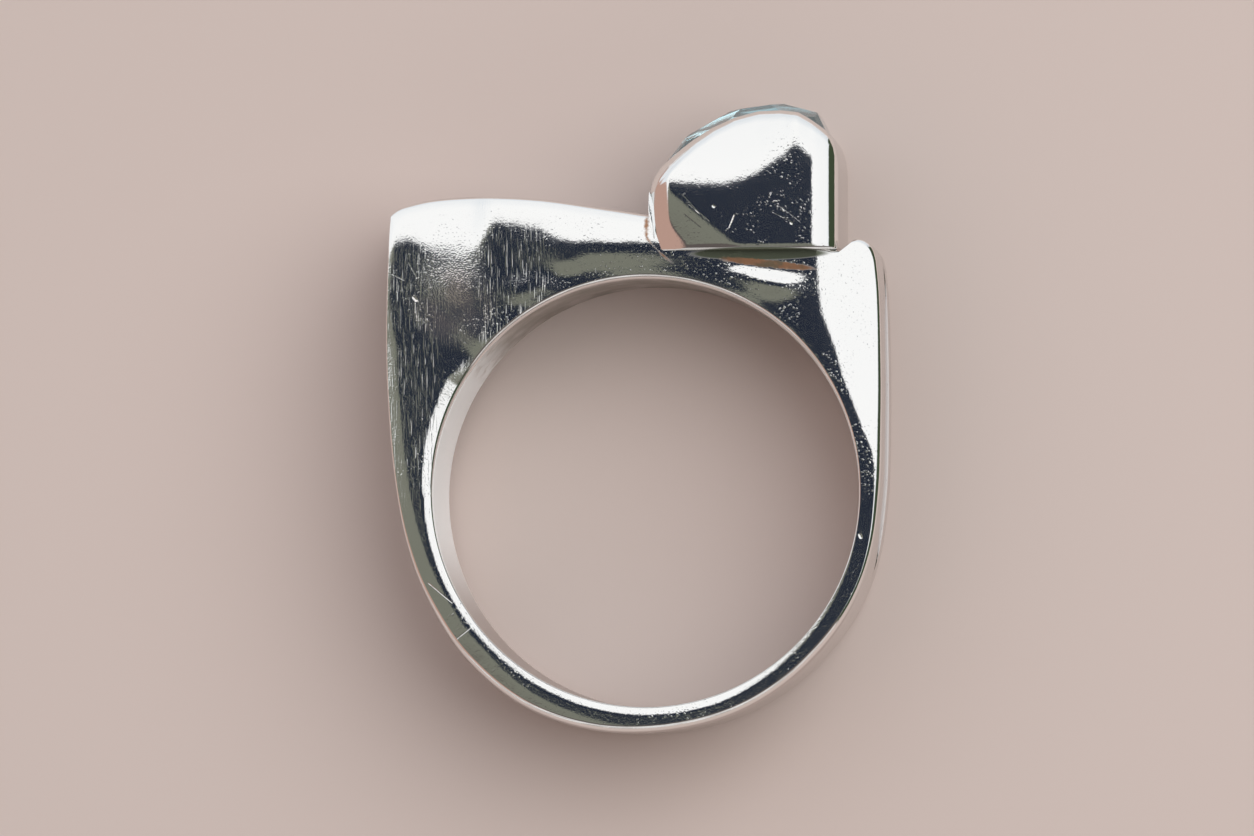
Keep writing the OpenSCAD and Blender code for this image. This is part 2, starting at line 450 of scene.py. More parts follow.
def rim_height(x):
    """Height in mm of the rim's line at a place across the box."""
    share = min(max((x - BOX_LEFT) / BOX_WIDTH, 0), 1)
    return BOX_FLOOR + BOX_HIGH * read_table(RIM, share)[0]


print("the rim is", [round(rim_height(x), 2) for x in (BOX_LEFT, BOX_MIDDLE)], "mm up, left and middle")

# %% [markdown]
# The box's front and back are polished like the band's face. Their upper part, their right
# edge and their lower left corner roll back a little, and each roll mirrors another part of
# the room: that is what draws the dark patch with its pointed corner in the photo. The left
# wall is drawn in toward the faces, which shows it as a slim band beside the patch.

# %% Rolls of the box's faces
BOX_ROLL = [  # x, y: the upper part rolls back from here on
    (-2, 12.3), (1.1, 12.27), (2.4, 12.2), (3.2, 12.2), (3.8, 12.32), (4.6, 12.65), (5.2, 13.05),
    (5.7, 13.4), (6.0, 13.72), (6.2, 13.82), (6.4, 13.6), (6.71, 13.3), (9, 13.3),
]
TOP_SLOPE = (0.11, 1.0)
BOX_RIGHT_FROM = 6.71
BOX_RIGHT_SLOPE = (0.13, 0.3)
FOOT_LINE = (4.3, 9.7)  # a slanting line through here bounds the lower left corner
FOOT_SLANT = 1.25
FOOT_SLOPE = (0.10, 0.35)
SLANT_LENGTH = 1.6


def box_face(x, y):
    """How far the polished face lies below the box's full depth."""
    past_foot = (FOOT_LINE[0] - x - FOOT_SLANT * (y - FOOT_LINE[1])) / SLANT_LENGTH
    return (
        roll(y - read_table(BOX_ROLL, x)[0], *TOP_SLOPE)
        + roll(x - BOX_RIGHT_FROM, *BOX_RIGHT_SLOPE)
        + roll(past_foot, *FOOT_SLOPE)
    )


print("the box's face drops", round(box_face(BOX_MIDDLE, rim_height(BOX_MIDDLE)), 3), "mm at its rim")

# %% Walls of the box
BOX_UNDERSIDE = BORE_R + 1.15
LEFT_BARREL = 0.56  # the left wall's edge is drawn in by this toward the faces
LEFT_POWER = 10  # and the greater this is, the nearer to the edge it starts
LEFT_FOOT = 0.85  # and by this much more at its foot
FOOT_POWER = 24
FOOT_REACH = 0.75
RIGHT_BARREL = 0.03
BARREL_BLEND = 1.5
FACE_FROM = 0.55  # share of the half depth at which the polished face's drop sets in
LEAST_ROUND = 0.1


def wall_point(shrink, high_share, drop, angle):
    """Place on the box's outside: shrink in from its full plan, a share of the rim's height, a drop."""
    corner = max(CORNER_ROUND - shrink, LEAST_ROUND)
    x, z = rounded(BOX_WIDTH / 2 - shrink, BOX_HALF_DEPTH - shrink, corner, angle)
    y = mix(BOX_UNDERSIDE, rim_height(BOX_MIDDLE + x), high_share) - drop
    out = abs(z) / BOX_HALF_DEPTH
    foot = LEFT_FOOT * math.exp(-((y - BOX_UNDERSIDE) / FOOT_REACH) ** 2)
    left = LEFT_BARREL * out**LEFT_POWER + foot * out**FOOT_POWER
    barrel = mix(left, RIGHT_BARREL * out**2, smooth(-BARREL_BLEND, BARREL_BLEND, x))
    x = BOX_MIDDLE + x * (1 - barrel / (BOX_WIDTH / 2))
    z -= math.copysign(box_face(x, y) * smooth(FACE_FROM, 1.0, out), z)
    return Vector((x, y, z))


print("the foot of the box's right wall stands at", [round(v, 2) for v in wall_point(0, 0, 0, 0)])

# %% Seat of the stone
STONE_AT = Vector((4.07, BOX_FLOOR + 3.53, 0))
STONE_LEAN = math.radians(7.5)
STONE_HALF = (3.5, 3.05)
STONE_CORNER = 1.6
LEAST_CORNER = 0.12
SEAT = [  # the inside, from the rim down: how far in from the stone's side, height over its girdle
    (0.42, 0.62), (0.40, 0.40), (0.30, 0.36), (-0.09, 0.22), (-0.09, -0.24), (0.30, -0.55),
    (0.85, -1.15), (1.30, -1.70), (1.90, -2.35), (2.50, -3.00), (2.85, -3.10),
]


def seat_point(inset, high, angle):
    """Place in the box of a point of the seat, given in the leaning stone's own frame."""
    corner = max(STONE_CORNER - inset, LEAST_CORNER)
    x, z = rounded(STONE_HALF[0] - inset, STONE_HALF[1] - inset, corner, angle)
    lean = Matrix.Rotation(STONE_LEAN, 3, "Z")
    return STONE_AT + lean @ Vector((x, high, z))


print("the seat's bottom reaches to", [round(v, 2) for v in seat_point(*SEAT[-1], 0)])

# %% Rings of the box
RIM_ROUND = (0.50, 0.28)  # how far in and how high
FLOOR_ROUND = (0.15, 0.12)
FLOOR_SHRINKS = (3.2, 1.6, 0.7)
WALL_RINGS = 26


def quarter_ring(round_in, round_high, bend, rim):
    """One ring of a rounded edge, as the inset and drop that wall_point takes."""
    if rim:
        return round_in * (1 - math.cos(bend)), round_high * (1 - math.sin(bend))
    return round_in * (1 - math.sin(bend)), -round_high * (1 - math.cos(bend))


def box_rings():
    """The box's rings from the middle of its underside to the bottom of the seat."""
    rings = []
    for shrink in FLOOR_SHRINKS:
        rings.append(lambda a, s=shrink: wall_point(s, 0, 0, a))
    for i in range(ROUND_STEPS + 1):
        inset, drop = quarter_ring(*FLOOR_ROUND, i / ROUND_STEPS * math.pi / 2, False)
        rings.append(lambda a, s=inset, d=drop: wall_point(s, 0, d, a))
    for i in range(1, WALL_RINGS):
        share = i / WALL_RINGS
        drop = mix(-FLOOR_ROUND[1], RIM_ROUND[1], share)
        rings.append(lambda a, h=share, d=drop: wall_point(0, h, d, a))
    for i in range(ROUND_STEPS + 1):
        inset, drop = quarter_ring(*RIM_ROUND, i / ROUND_STEPS * math.pi / 2, True)
        rings.append(lambda a, s=inset, d=drop: wall_point(s, 1, d, a))
    for inset, high in SEAT:
        rings.append(lambda a, s=inset, h=high: seat_point(s, h, a))
    return rings


print("the box has", len(box_rings()), "rings")

# %% Silver box
LOOP_STEPS = 360


def drawn_out(bm, edges, angle_of):
    """Extrudes a loop, and gives the new loop's edges and the angle that each new point stands at."""
    grown = bmesh.ops.extrude_edge_only(bm, edges=edges)["geom"]
    new = [g for g in grown if isinstance(g, bmesh.types.BMVert)]
    fresh = set(new)
    edges = [g for g in grown if isinstance(g, bmesh.types.BMEdge) and all(v in fresh for v in g.verts)]
    angles = {}
    for vert in new:
        for edge in vert.link_edges:
            other = edge.other_vert(vert)
            if other in angle_of:
                angles[vert] = angle_of[other]
    return edges, angles


def box_mesh():
    """Draws the box out of a circle, ring by ring, and closes its two ends."""
    bm = bmesh.new()
    loop = bmesh.ops.create_circle(bm, cap_ends=False, segments=LOOP_STEPS, radius=1)["verts"]
    angle_of = {v: math.atan2(v.co.y, v.co.x) % math.tau for v in loop}
    edges = bm.edges[:]
    for number, ring in enumerate(box_rings()):
        if number:
            edges, angle_of = drawn_out(bm, edges, angle_of)
        for vert, angle in angle_of.items():
            vert.co = ring(angle) * MM
    bmesh.ops.holes_fill(bm, edges=[e for e in bm.edges if e.is_boundary], sides=0)
    bmesh.ops.remove_doubles(bm, verts=bm.verts[:], dist=MERGE)
    bmesh.ops.recalc_face_normals(bm, faces=bm.faces[:])
    return bm


silver_box = finish_piece("silver_box", box_mesh())
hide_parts("ring_body")
print("silver_box", len(silver_box.data.polygons), "faces")

# %% [markdown]
# Where the box's left wall meets the tall shoulder, solder has filled the joint with a slim
# bead that runs along the whole depth. It is a thin oval rod, pointed at the top and the
# bottom, whose ends lean a little to the right, so that they mirror the light. A cylinder
# is already a closed rod, so it only needs its points moved and its ends softened by a bevel.

# %% Bead of solder
BEAD_AT = (0.27, 11.23)
BEAD_HALF = (0.125, 0.96)
BEAD_POINTED = 0.9  # 0 leaves the ends of its oval round, 1 draws them to a point
BEAD_SLANT = 0.10  # how far its top stands to the left and its foot to the right
BEAD_END = 3.04
BEAD_LEAN = 0.09  # slope of its ends
BEAD_ROUND = 0.02
BEAD_STEPS = 48
BEAD_SHARP = math.radians(20)


def bead_mesh():
    """Shapes a cylinder into an oval rod with leaning, softened ends."""
    bm = bmesh.new()
    bmesh.ops.create_cone(bm, cap_ends=True, segments=BEAD_STEPS, radius1=1, radius2=1, depth=2)
    ends = [e for e in bm.edges if abs(e.verts[0].co.z - e.verts[1].co.z) < 0.5]
    for vert in bm.verts:
        across, up = vert.co.x, vert.co.y
        x = BEAD_HALF[0] * across * math.sqrt(1 - BEAD_POINTED * up * up) - BEAD_SLANT * up
        high = (BEAD_END - BEAD_LEAN * x) * vert.co.z
        vert.co = Vector((BEAD_AT[0] + x, BEAD_AT[1] + BEAD_HALF[1] * up, high)) * MM
    bmesh.ops.bevel(
        bm, geom=ends, offset=BEAD_ROUND * MM, segments=3, profile=0.5, affect="EDGES", material=-1,
        clamp_overlap=True,
    )
    bmesh.ops.recalc_face_normals(bm, faces=bm.faces[:])
    return bm


solder_bead = finish_piece("solder_bead", bead_mesh(), BEAD_SHARP)
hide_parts("ring_body")
print("solder_bead", len(solder_bead.data.polygons), "faces")

# %% [markdown]
# A material is a small chain of nodes. Writing such chains as plain sums is easier to read
# than linking node to node, so one class stands for a value that varies over a surface and
# turns +, -, * and / into Math nodes. Every other node comes from one method.

# %% Nodes from one method


class Graph:
    """A node tree that is written as expressions."""

    def __init__(self, tree):
        self.tree = tree
        tree.nodes.clear()

    def node(self, kind, settings=None, inputs=None, out=0):
        """Adds a node, sets it up, fills its sockets, and gives one of its outputs if it has any."""
        node = self.tree.nodes.new(kind)
        for key, value in (settings or {}).items():
            setattr(node, key, value)
        for key, value in (inputs or {}).items():
            socket = node.inputs[key]
            if isinstance(value, Varying):
                self.tree.links.new(value.socket, socket)
            else:
                socket.default_value = value
        return Varying(self, node.outputs[out]) if len(node.outputs) else None


def new_material(name):
    """An empty material, and the graph that fills it."""
    material = bpy.data.materials.new(name)
    material.use_nodes = True
    return material, Graph(material.node_tree)


print("materials so far:", len(bpy.data.materials))

# %% Sums of varying values


class Varying:
    """A number, colour or direction that varies over a surface."""

    def __init__(self, graph, socket):
        self.graph = graph
        self.socket = socket

    def math(self, operation, *values):
        return self.graph.node("ShaderNodeMath", {"operation": operation}, dict(enumerate(values)))

    def __add__(self, other):
        return self.math("ADD", self, other)

    __radd__ = __add__

    def __sub__(self, other):
        return self.math("SUBTRACT", self, other)

    def __rsub__(self, other):
        return self.math("SUBTRACT", other, self)

    def __mul__(self, other):
        return self.math("MULTIPLY", self, other)

    __rmul__ = __mul__

    def __truediv__(self, other):
        return self.math("DIVIDE", self, other)

    def __abs__(self):
        return self.math("ABSOLUTE", self)

    def __pow__(self, other):
        return self.math("POWER", self, other)

    def max(self, other):
        return self.math("MAXIMUM", self, other)

    def step(self, low, high):
        """0 at low and below, 1 at high and above; low may be the greater."""
        if low > high:
            return 1 - self.step(high, low)
        settings = {"interpolation_type": "SMOOTHSTEP", "clamp": True}
        inputs = {"Value": self, "From Min": low, "From Max": high, "To Min": 0.0, "To Max": 1.0}
        return self.graph.node("ShaderNodeMapRange", settings, inputs)

    def step_mm(self, low, high):
        """The same step, with its two ends in mm."""
        return self.step(low * MM, high * MM)

    def parts(self):
        """The three parts of a direction or place."""
        first = self.graph.node("ShaderNodeSeparateXYZ", None, {"Vector": self})
        return [Varying(self.graph, socket) for socket in first.socket.node.outputs]

    def blend(self, a, b):
        """Colour a where this mask is 0, colour b where it is 1."""

        def full(colour):
            return colour if isinstance(colour, Varying) else (*colour, 1)

        inputs = {"Factor": self, "A": full(a), "B": full(b)}
        return self.graph.node("ShaderNodeMix", {"data_type": "RGBA"}, inputs, out="Result")


trial = bpy.data.node_groups.new("trial", "ShaderNodeTree")
value = Graph(trial).node("ShaderNodeValue")
flipped = 1 - value * 2
print("1 - value * 2 made", len(trial.nodes), "nodes, the last a", flipped.socket.node.operation)
bpy.data.node_groups.remove(trial)

# %% [markdown]
# Polished silver has almost no colour of its own: it shows what stands around it. What makes
# it look real is wear. Soft waves and fine polishing lines tilt the surface by a degree or
# two, so the edges of every reflection fray into hairs, and bright flecks shine inside the
# dark ones. All of it is a height in metres that goes through one Bump node, because a mesh
# with such fine lines would need millions of faces.

# %% Noise and ovals
NOISE_ROUGH = 0.55  # how strong each finer octave of the noise is


def noise(g, place, scale, detail=2.0, stretch=(1.0, 1.0, 1.0)):
    """Soft noise from 0 to 1 with a number of waves in a metre."""
    moved = g.node("ShaderNodeMapping", None, {"Vector": place, "Scale": stretch})
    inputs = {"Vector": moved, "Scale": scale, "Detail": detail, "Roughness": NOISE_ROUGH}
    return g.node("ShaderNodeTexNoise", None, inputs)


def oval(x, y, centre, half):
    """0 in the middle of an oval and 1 on its edge, growing with the square; sizes in mm."""
    across = (x - centre[0] * MM) / (half[0] * MM)
    up = (y - centre[1] * MM) / (half[1] * MM)
    return across**2 + up**2


print("at half its width an oval reads", oval(0.5 * MM, 0.0, (0.0, 0.0), (1.0, 1.0)))

# %% Scratches and pits
SCRATCHES = [  # from x, y to x, y, half width, depth, in mm
    (1.54, 12.04, 2.44, 11.03, 0.028, 0.0009),
    (1.81, 11.63, 2.60, 10.98, 0.026, 0.0013),
    (1.62, 11.25, 2.30, 10.70, 0.024, 0.0012),
    (3.65, 11.19, 3.45, 10.70, 0.030, 0.0017),
    (5.48, 11.55, 6.29, 10.94, 0.026, 0.0009),
    (5.20, 11.30, 5.90, 10.95, 0.024, 0.0008),
    (-9.64, 9.36, -9.31, 8.75, 0.028, 0.0015),
    (-10.33, 8.92, -9.84, 8.67, 0.028, 0.0010),
    (-8.83, -3.61, -7.86, -4.42, 0.028, 0.0034),
    (-7.65, -5.88, -7.13, -5.47, 0.026, 0.0030),
    (6.45, -5.67, 6.94, -5.43, 0.028, 0.0026),
    (-9.42, 7.96, -9.33, 7.86, 0.080, 0.0060),
    (8.70, -1.74, 8.73, -1.82, 0.080, 0.0060),
    (2.80, 11.56, 2.82, 11.54, 0.060, 0.0050),
    (5.95, 10.86, 5.97, 10.84, 0.055, 0.0045),
]


def scratch(x, y, line):
    """Depth in metres of one scratch or pit on a face."""
    x0, y0, x1, y1, half, deep = [value * MM for value in line]
    length = math.hypot(x1 - x0, y1 - y0)
    run_x, run_y = (x1 - x0) / length, (y1 - y0) / length
    run = (x - x0) * run_x + (y - y0) * run_y
    past = (0 - run).max(run - length).max(0.0)
    off = (x - x0) * run_y - (y - y0) * run_x
    return (1 - (past * past + off * off) ** 0.5 / half).max(0.0) * deep


longest = max(math.hypot(x1 - x0, y1 - y0) for x0, y0, x1, y1, *_ in SCRATCHES)
print(len(SCRATCHES), "scratches and pits, the longest", round(longest, 2), "mm")

# %% Brushed lines on the tall shoulder
BRUSHED_FROM_X = (-0.5, -3.5)  # mm, from none to full
BRUSHED_FROM_Y = (-3, 2)
BRUSHED_ROWS = [(-8.2, -8.8), (-7.0, -6.6), (-3.6, -4.4)]  # deeper outside the first, and between the rest
BRUSH_SCALE = 15000.0
BRUSH_STRETCH = (1.0, 0.06, 1.0)
BRUSH_FLOOR = 0.54  # only the noise above this is a line
BRUSH_HEIGHT = 2e-6
ROW_HEIGHT = 4.6e-6


def brushed_lines(g, place, x, y):
    """Height in metres of the upright lines that brushing has left."""
    outer, from_x, to_x = [x.step_mm(*edge) for edge in BRUSHED_ROWS]
    rows = outer.max(from_x * to_x)
    shoulder = x.step_mm(*BRUSHED_FROM_X) * y.step_mm(*BRUSHED_FROM_Y)
    lines = (noise(g, place, BRUSH_SCALE, 1.0, BRUSH_STRETCH) - BRUSH_FLOOR).max(0.0)
    return lines * (shoulder * (rows * ROW_HEIGHT + BRUSH_HEIGHT))


print("brushed lines", round(1e3 / BRUSH_SCALE, 3), "mm apart")

# %% Rubbed places and flecks
RUBBED = ((-7.9, 9.1), (1.5, 1.3))  # wear has rubbed the tall shoulder here to a sparkling haze
RUBBED_EDGE = (1.5, 0.1)
SPARKLE_SCALE = 15000.0
SPARKLE_HEIGHT = 3.0e-6
UNDER_BOX = ((5.2, 8.8), (1.9, 0.7))
UNDER_BOX_EDGE = (1.3, 0.8)
WORN_SCALE = 420.0
WORN_EDGE = (0.42, 0.64)
FLECK_SCALE = 12500.0
FLECK_FLOOR = 0.65
FLECK_HEIGHT = 2.6e-6
WORN_HEIGHT = 6e-6


def flecks(g, place, x, y, rubbed):
    """Height in metres of the bright flecks, which stand higher where the silver is worn."""
    rubbed = rubbed.max(oval(x, y, *UNDER_BOX).step(*UNDER_BOX_EDGE))
    worn = noise(g, place, WORN_SCALE).step(*WORN_EDGE).max(rubbed)
    specks = (noise(g, place, FLECK_SCALE, 0.0) - FLECK_FLOOR).max(0.0)
    return specks * (worn * WORN_HEIGHT + FLECK_HEIGHT)


def sparkle(g, place, rubbed):
    """Height in metres of the grain of the rubbed place."""
    return noise(g, place, SPARKLE_SCALE, 0.0) * (rubbed * SPARKLE_HEIGHT)


print("rubbed places at", RUBBED[0], "and", UNDER_BOX[0])

# %% Height of the wear
WAVES = (700.0, 3.4e-6)  # waves in a metre, height in metres
RIPPLES = (2600.0, 1.8e-6)
GRAIN = (12000.0, 0.9e-6)
GROOVES = 5200.0
ROUND_THE_RING = (0.08, 0.08, 1.0)
BORE_GROOVE = 20e-6
WALL_GROOVE = 5e-6


def wear_height(g, place, x, y, bore, wall, rubbed):
    """Height in metres of the wear: waves, grain, lines, flecks, grooves on the walls, scratches."""
    waves = noise(g, place, WAVES[0]) * WAVES[1]
    ripples = noise(g, place, RIPPLES[0]) * RIPPLES[1]
    grain = noise(g, place, GRAIN[0], 1.0) * GRAIN[1]
    grooves = noise(g, place, GROOVES, stretch=ROUND_THE_RING) * (bore * BORE_GROOVE + wall * WALL_GROOVE)
    height = waves + ripples + grain + brushed_lines(g, place, x, y) + flecks(g, place, x, y, rubbed)
    height = height + sparkle(g, place, rubbed) + grooves
    for line in SCRATCHES:
        height = height - scratch(x, y, line)
    return height


print("soft waves", round(1e3 / WAVES[0], 2), "mm long and", WAVES[1] * 1e6, "micrometres high")

# %% [markdown]
# The joint below the box never gets polished: a lens of brown tarnish and a brown crease beside the bead
# remain there.
# Just under the box, a dark green strip is painted shade and painted reflection. The wall of the finger
# hole is worn to satin, with dark blotches near the top that are painted shade, and the outer walls are
# painted darker, as painted shade that dims what they mirror.
# Each stain and each painted shade is a mask between two colours. Painting them on an image would look the
# same, but masks on the object's own coordinates stay sharp from any distance.

# %% Colours of the silver
SILVER = (0.94, 0.935, 0.92)
TARNISH = (0.36, 0.19, 0.11)
# dark blotches on the upper wall of the finger hole, painted shade
BORE_SHADE = (0.25, 0.245, 0.20)
# dark green of the strip under the box, which is painted shade and painted reflection, and of the
# tarnish's mottle
MOSS = (0.12, 0.135, 0.095)
HAZE = (0.86, 0.77, 0.74)
# the outer walls' darker colour is painted shade that dims what they mirror
WALL_SHADE = (0.60, 0.555, 0.535)
SATIN = (0.99, 0.99, 0.99)
print("silver", SILVER, "and its satin", SATIN)

# %% Stains and painted shade under and beside the box
# a dark green strip just under the box: painted shade and painted reflection, with less gloss
SHADE_STRIP = ((4.6, 9.66), (2.9, 0.27))
SHADE_STRIP_EDGE = (1.1, 0.7)
LENS_TILT = 0.11
LENS_AT = (4.97, 9.245)  # it tilts about this place
LENS_OVAL = ((5.0, 0.0), (2.0, 0.17))  # its middle and half sizes, along its tilted middle line
LENS_EDGE = (1.15, 0.6)
FRAY = (4000.0, 0.16)  # waves in a metre, width in mm
CREASE_X = 0.04
CREASE_TOP = (11.4, 11.0)
CREASE_FOOT = (9.2, 9.6)
CREASE_TURN = (10.5, 0.45, 1.25)  # y below which it bends, how softly, how far
CREASE_EDGE = (0.26, 0.13)
CREASE_RAGGED = (3500.0, 0.30)


def tarnished_lens(g, place, x, y):
    """Mask of the brown lens, with a frayed edge and a slight tilt."""
    frayed = noise(g, place, FRAY[0]) * (FRAY[1] * MM) - FRAY[1] / 2 * MM
    low = y + (x - LENS_AT[0] * MM) * LENS_TILT - LENS_AT[1] * MM + frayed
    return oval(x, low, *LENS_OVAL).step(*LENS_EDGE)


def brown_crease(g, place, x, y):
    """Mask of the crease that runs down beside the bead and bends to the right at its foot."""
    top, soft, far = CREASE_TURN
    turn = (top * MM - y).max(0.0)
    bend = ((turn * turn + (soft * MM) ** 2) ** 0.5 - soft * MM) * far
    ragged = noise(g, place, CREASE_RAGGED[0]) * (CREASE_RAGGED[1] * MM)
    crease = (abs(x - CREASE_X * MM - bend) + ragged).step_mm(*CREASE_EDGE)
    return crease * y.step_mm(*CREASE_TOP) * y.step_mm(*CREASE_FOOT)


print("tarnish", 2 * LENS_OVAL[1][0], "mm long under the box")

# %% Satin, blotches and haze
BLOTCH_SCALE = 700.0
BLOTCH_EDGE = (0.20, 0.66)
BLOTCH_FROM = (4.5, 7)
SATIN_TOP = (7.5, 5.0)
SATIN_FOOT = (-6, -1)
RUB_SCALE = 1300.0
RUB_EDGE = (0.38, 0.52)
RUB_BELOW = (5.4, 4.6)
UNEVEN = 0.6
HAZED = ((-7.8, 7.6), (1.6, 1.5))
HAZED_EDGE = (1.6, 0.0)
HAZE_SCALE = 900.0
HAZE_NOISE = (0.20, 0.60)


def bore_shade_blotches(g, place, y, bore):
    """Mask of the dark blotches on the upper wall of the finger hole, painted shade."""
    return noise(g, place, BLOTCH_SCALE, 3.0).step(*BLOTCH_EDGE) * y.step_mm(*BLOTCH_FROM) * bore


def bore_satin(g, place, y, bore):
    """Mask of the satin wear on the wall of the finger hole, uneven toward its upper end."""
    satin = bore * y.step_mm(*SATIN_TOP) * y.step_mm(*SATIN_FOOT)
    uneven = noise(g, place, RUB_SCALE, 3.0).step(*RUB_EDGE).max(y.step_mm(*RUB_BELOW))
    return satin * (uneven * UNEVEN + (1 - UNEVEN))


def shoulder_haze(g, place, x, y):
    """Mask of the faint haze below the tall shoulder's rubbed place."""
    return oval(x, y, *HAZED).step(*HAZED_EDGE) * noise(g, place, HAZE_SCALE).step(*HAZE_NOISE)


print("haze round", HAZED[0], "on the tall shoulder")

# %% Base colour of the silver
MOTTLE = (1500.0, 0.45, 0.65)  # waves in a metre, then the noise from which it shows
BLOTCH_STRENGTH = 0.72
MOTTLE_STRENGTH = 0.6


def silver_colour(g, place, masks):
    """Base colour: the silver, its painted shade on the outer walls, its satin, and the stains and painted
    shade over them.
    """
    satin, wall, blotches, shade_strip, lens, crease, haze = masks
    # The outer walls take a darker colour: painted shade that dims what they mirror.
    colour = satin.blend(wall.blend(SILVER, WALL_SHADE), SATIN)
    # Dark blotches on the upper wall of the finger hole: painted shade.
    colour = (blotches * BLOTCH_STRENGTH).blend(colour, BORE_SHADE)
    # A dark green strip under the box: painted shade and painted reflection.
    colour = shade_strip.blend(colour, MOSS)
    colour = lens.max(crease).blend(colour, TARNISH)
    mottled = lens * noise(g, place, MOTTLE[0]).step(*MOTTLE[1:]) * MOTTLE_STRENGTH
    colour = mottled.blend(colour, MOSS)
    return haze.blend(colour, HAZE)


print("seven masks lie over the silver, the blotches at", BLOTCH_STRENGTH, "of their strength")

# %% Silver
BORE_EDGE = (8.70, 8.66)  # radius in mm, from outside the finger hole to its wall
WALL_EDGE = (2.8, 2.6)  # height in mm, from the polished faces to the outer walls
SATIN_MATT = 0.95  # how much of the metal's gloss the satin, the stains and painted shade, and the haze take away
STAIN_AND_SHADE_MATT = 0.6
HAZE_MATT = 0.07
POLISH_ROUGH = 0.075
BORE_ROUGH = 0.30
RUBBED_ROUGH = 0.035


def silver_material():
    """Polished silver with all its wear and stains."""
    material, g = new_material("polished_silver")
    place = g.node("ShaderNodeTexCoord", out="Object")
    x, y, z = place.parts()
    bore = ((x * x + y * y) ** 0.5).step_mm(*BORE_EDGE)
    wall = abs(z).step_mm(*WALL_EDGE)
    rubbed = oval(x, y, *RUBBED).step(*RUBBED_EDGE)
    satin = bore_satin(g, place, y, bore)
    shade_strip = oval(x, y, *SHADE_STRIP).step(*SHADE_STRIP_EDGE)
    lens = tarnished_lens(g, place, x, y)
    crease = brown_crease(g, place, x, y)
    haze = shoulder_haze(g, place, x, y)
    masks = (satin, wall, bore_shade_blotches(g, place, y, bore), shade_strip, lens, crease, haze)
    # The tarnish and the painted shade strip take away gloss.
    stain_and_shade = lens.max(crease).max(shade_strip)
    height = wear_height(g, place, x, y, bore, wall, rubbed)
    shader = g.node(
        "ShaderNodeBsdfPrincipled", None,
        {
            "Base Color": silver_colour(g, place, masks),
            "Metallic": 1 - satin * SATIN_MATT - stain_and_shade * STAIN_AND_SHADE_MATT - haze * HAZE_MATT,
            "Roughness": bore * BORE_ROUGH + rubbed * RUBBED_ROUGH + POLISH_ROUGH,
            "Normal": g.node("ShaderNodeBump", None, {"Strength": 1.0, "Distance": 1.0, "Height": height}),
        },
    )
    g.node("ShaderNodeOutputMaterial", None, {"Surface": shader})
    return material


silver = silver_material()
for piece in (silver_band, silver_box, solder_bead):
    piece.data.materials.append(silver)
print("silver of", len(silver.node_tree.nodes), "nodes")

# %% [markdown]
# Aquamarine is a clear pale blue crystal that bends light a little more than window glass.
# A new stone could be cut here, plane by plane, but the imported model's own already has the
# right facets, so it only gets its crystal. Transmission with the stone's own index of
# refraction lets the facets mirror and bend the light by themselves. Two faint touches of
# nature break it up: zones of deeper colour, and a few dull specks on the facets.

# %% Aquamarine
PALE_BLUE = (0.75, 0.94, 0.98)
DEEPER_BLUE = (0.66, 0.90, 0.96)
STONE_INDEX = 1.577
STONE_CLEAR = 0.88
ZONES = (330.0, 0.30, 0.70)  # waves in a metre, then the noise from which they show
ZONE_STRETCH = (1.0, 0.35, 1.0)
SPECKS = (9000.0, 0.72, 0.80)
SPECK_DULL = 0.12


def aquamarine_material():
    """Clear blue crystal with faint zones and specks."""
    material, g = new_material("aquamarine_crystal")
    place = g.node("ShaderNodeTexCoord", out="Object")
    zones = noise(g, place, ZONES[0], 1.0, ZONE_STRETCH).step(*ZONES[1:])
    specks = noise(g, place, SPECKS[0], 0.0).step(*SPECKS[1:])
    shader = g.node(
        "ShaderNodeBsdfPrincipled", None,
        {
            "Base Color": zones.blend(DEEPER_BLUE, PALE_BLUE),
            "Roughness": specks * SPECK_DULL,
            "IOR": STONE_INDEX,
            "Transmission Weight": STONE_CLEAR,
        },
    )
    g.node("ShaderNodeOutputMaterial", None, {"Surface": shader})
    return material


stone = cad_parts["aquamarine"]
stone.data.materials.clear()
stone.data.materials.append(aquamarine_material())
print("aquamarine of", len(stone.data.polygons), "triangles")

# %% [markdown]
# The ring lies on a plain pale floor at the height of the imported model's lowest point. A
# warm matt floor is also what the outer walls and the wall of the finger hole mirror. One
# large square is enough.

# %% Floor
FLOOR_SIZE = 3.0
FLOOR = (0.60, 0.50, 0.46)
FLOOR_ROUGH = 0.8


def floor_material():
    """Plain warm matt floor."""
    material, g = new_material("pale_floor")
    inputs = {"Base Color": (*FLOOR, 1), "Roughness": FLOOR_ROUGH}
    shader = g.node("ShaderNodeBsdfPrincipled", None, inputs)
    g.node("ShaderNodeOutputMaterial", None, {"Surface": shader})
    return material


bm = bmesh.new()
bmesh.ops.create_grid(bm, x_segments=1, y_segments=1, size=FLOOR_SIZE / 2)
bmesh.ops.translate(bm, verts=bm.verts[:], vec=(0, 0, ring_low.z))
floor_data = bpy.data.meshes.new("floor")
bm.to_mesh(floor_data)
bm.free()
floor = bpy.data.objects.new("floor", floor_data)
floor.data.materials.append(floor_material())
bpy.context.scene.collection.objects.link(floor)
print("floor", round(-ring_low.z / MM, 2), "mm below the ring's middle plane")

# %% [markdown]
# Polished silver shows its surroundings, so the studio round it is painted on the sky: dark
# straight above, where the camera stands, with bright soft panels beside it. The directions
# are read on a flat map, on which a face that leans by some angle mirrors the point at the
# tangent of that angle. That makes it easy to say which lean shows which panel. Lamps could
# stand for the panels, but their edges would be harder to place.

# %% Map of the sky
MAP_SHIFT = (0.048, -0.025)  # brings what a flat face mirrors to the camera to the map's middle
LEAST_LIFT = 0.05


